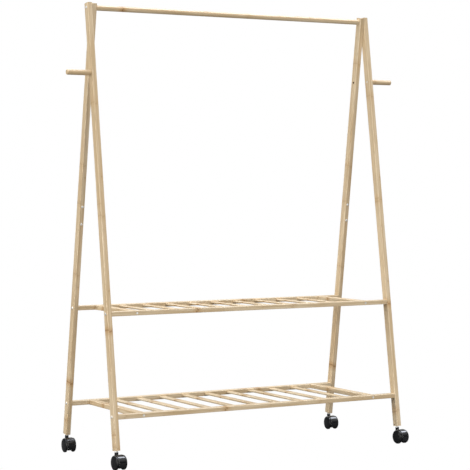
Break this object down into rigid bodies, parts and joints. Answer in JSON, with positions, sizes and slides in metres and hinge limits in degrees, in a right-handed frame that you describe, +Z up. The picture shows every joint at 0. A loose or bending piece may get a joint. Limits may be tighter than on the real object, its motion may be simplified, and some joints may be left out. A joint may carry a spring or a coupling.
{
  "type": "rolling clothes rack",
  "caption": "Bamboo A-frame clothes rack on twin-wheel swivel casters, with a round hanging rail, slatted shoe shelves and coat pegs at both ends.",
  "frame": {"origin": "on the floor, under the middle of the hanging rail", "axes": "+Z up, +X to the right along the hanging rail, +Y towards the back; the front legs are the outer ones"},
  "size_m": [1.278, 0.4673, 1.5],
  "materials": {
    "bamboo": "satin",
    "caster_plastic": "gloss",
    "wheel_plastic": "gloss",
    "axle_steel": "satin",
    "plated_steel": "bright",
    "socket_steel": "satin",
    "insert_brass": "satin"
  },
  "bodies": {
    "frame": {"leg_left_front_upper": "bamboo", "leg_left_front_lower": "bamboo", "leg_left_back_upper": "bamboo", "leg_left_back_lower": "bamboo", "leg_right_front_upper": "bamboo", "leg_right_front_lower": "bamboo", "leg_right_back_upper": "bamboo", "leg_right_back_lower": "bamboo", "hanging_rail": "bamboo", "coat_peg_left": "bamboo", "coat_peg_right": "bamboo", "upper_shelf_front_rail": "bamboo", "upper_shelf_back_rail": "bamboo", "upper_shelf_left_bar": "bamboo", "upper_shelf_right_bar": "bamboo", "upper_shelf_slat_1": "bamboo", "upper_shelf_slat_2": "bamboo", "upper_shelf_slat_3": "bamboo", "upper_shelf_slat_4": "bamboo", "upper_shelf_slat_5": "bamboo", "upper_shelf_slat_6": "bamboo", "upper_shelf_slat_7": "bamboo", "upper_shelf_slat_8": "bamboo", "upper_shelf_slat_9": "bamboo", "lower_shelf_front_rail": "bamboo", "lower_shelf_back_rail": "bamboo", "lower_shelf_left_bar": "bamboo", "lower_shelf_right_bar": "bamboo", "lower_shelf_slat_1": "bamboo", "lower_shelf_slat_2": "bamboo", "lower_shelf_slat_3": "bamboo", "lower_shelf_slat_4": "bamboo", "lower_shelf_slat_5": "bamboo", "lower_shelf_slat_6": "bamboo", "lower_shelf_slat_7": "bamboo", "lower_shelf_slat_8": "bamboo", "lower_shelf_slat_9": "bamboo", "caster_stems": "plated_steel", "caster_sockets": "socket_steel", "rail_bolts": "plated_steel", "shelf_bolts": "plated_steel", "splice_bolts": "plated_steel", "threaded_inserts": "insert_brass", "wood_screws": "plated_steel"},
    "left_front_caster": {"caster_left_front_hood": "caster_plastic", "caster_left_front_axle": "axle_steel"},
    "left_front_left_wheel": {"caster_left_front_left_wheel": "wheel_plastic"},
    "left_front_right_wheel": {"caster_left_front_right_wheel": "wheel_plastic"},
    "left_back_caster": {"caster_left_back_hood": "caster_plastic", "caster_left_back_axle": "axle_steel"},
    "left_back_left_wheel": {"caster_left_back_left_wheel": "wheel_plastic"},
    "left_back_right_wheel": {"caster_left_back_right_wheel": "wheel_plastic"},
    "right_front_caster": {"caster_right_front_hood": "caster_plastic", "caster_right_front_axle": "axle_steel"},
    "right_front_left_wheel": {"caster_right_front_left_wheel": "wheel_plastic"},
    "right_front_right_wheel": {"caster_right_front_right_wheel": "wheel_plastic"},
    "right_back_caster": {"caster_right_back_hood": "caster_plastic", "caster_right_back_axle": "axle_steel"},
    "right_back_left_wheel": {"caster_right_back_left_wheel": "wheel_plastic"},
    "right_back_right_wheel": {"caster_right_back_right_wheel": "wheel_plastic"}
  },
  "joints": [
    {"name": "left_front_swivel", "type": "hinge", "parent": "frame", "child": "left_front_caster", "pos_m": [-0.546, -0.205, 0.054], "axis": [0, 0, 1], "continuous": true},
    {"name": "left_front_left_wheel_spin", "type": "hinge", "parent": "left_front_caster", "child": "left_front_left_wheel", "pos_m": [-0.56108, -0.22327, 0.0235], "axis": [0.9998, 0.0175, 0], "continuous": true},
    {"name": "left_front_right_wheel_spin", "type": "hinge", "parent": "left_front_caster", "child": "left_front_right_wheel", "pos_m": [-0.53029, -0.22273, 0.0235], "axis": [0.9998, 0.0175, 0], "continuous": true},
    {"name": "left_back_swivel", "type": "hinge", "parent": "frame", "child": "left_back_caster", "pos_m": [-0.53, 0.205, 0.054], "axis": [0, 0, 1], "continuous": true},
    {"name": "left_back_left_wheel_spin", "type": "hinge", "parent": "left_back_caster", "child": "left_back_left_wheel", "pos_m": [-0.54632, 0.18783, 0.0235], "axis": [0.9986, -0.0523, 0], "continuous": true},
    {"name": "left_back_right_wheel_spin", "type": "hinge", "parent": "left_back_caster", "child": "left_back_right_wheel", "pos_m": [-0.51556, 0.18622, 0.0235], "axis": [0.9986, -0.0523, 0], "continuous": true},
    {"name": "right_front_swivel", "type": "hinge", "parent": "frame", "child": "right_front_caster", "pos_m": [0.546, -0.205, 0.054], "axis": [0, 0, 1], "continuous": true},
    {"name": "right_front_left_wheel_spin", "type": "hinge", "parent": "right_front_caster", "child": "right_front_left_wheel", "pos_m": [0.53257, -0.22451, 0.0235], "axis": [0.9945, 0.1045, 0], "continuous": true},
    {"name": "right_front_right_wheel_spin", "type": "hinge", "parent": "right_front_caster", "child": "right_front_right_wheel", "pos_m": [0.5632, -0.22129, 0.0235], "axis": [0.9945, 0.1045, 0], "continuous": true},
    {"name": "right_back_swivel", "type": "hinge", "parent": "frame", "child": "right_back_caster", "pos_m": [0.53, 0.205, 0.054], "axis": [0, 0, 1], "continuous": true},
    {"name": "right_back_left_wheel_spin", "type": "hinge", "parent": "right_back_caster", "child": "right_back_left_wheel", "pos_m": [0.51368, 0.18783, 0.0235], "axis": [0.9986, -0.0523, 0], "continuous": true},
    {"name": "right_back_right_wheel_spin", "type": "hinge", "parent": "right_back_caster", "child": "right_back_right_wheel", "pos_m": [0.54444, 0.18622, 0.0235], "axis": [0.9986, -0.0523, 0], "continuous": true}
  ]
}
